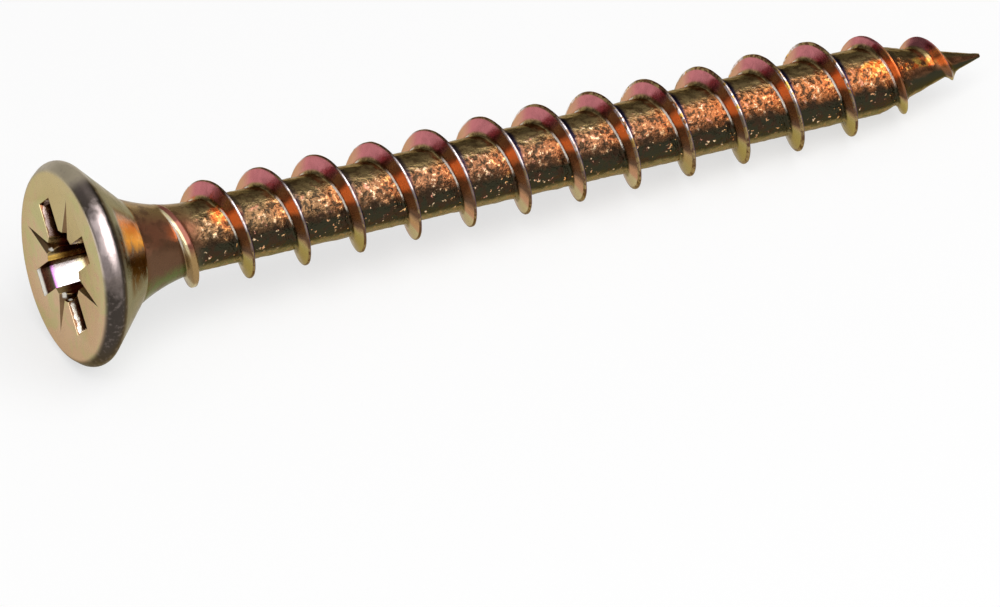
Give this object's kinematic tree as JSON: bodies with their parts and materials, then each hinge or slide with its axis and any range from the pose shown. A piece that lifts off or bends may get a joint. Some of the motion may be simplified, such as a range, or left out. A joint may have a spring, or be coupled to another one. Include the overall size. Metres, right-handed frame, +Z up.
{
  "type": "chipboard screw",
  "caption": "Countersunk wood screw with a type Z cross recess, a coarse full-length thread and a sharp point, in yellow zinc.",
  "frame": {"origin": "middle of the flat head face", "axes": "+X from the head towards the point, dipping by the angle at which the screw lies on its rim and a thread crest; +Z up from the surface it lies on"},
  "size_m": [0.0387, 0.0078, 0.0079],
  "materials": {
    "yellow_zinc": "cold-headed steel with yellow chromated zinc plating, glossy and iridescent from olive to pink and orange"
  },
  "bodies": {
    "root": {"chipboard_screw": "yellow_zinc"}
  },
  "joints": []
}
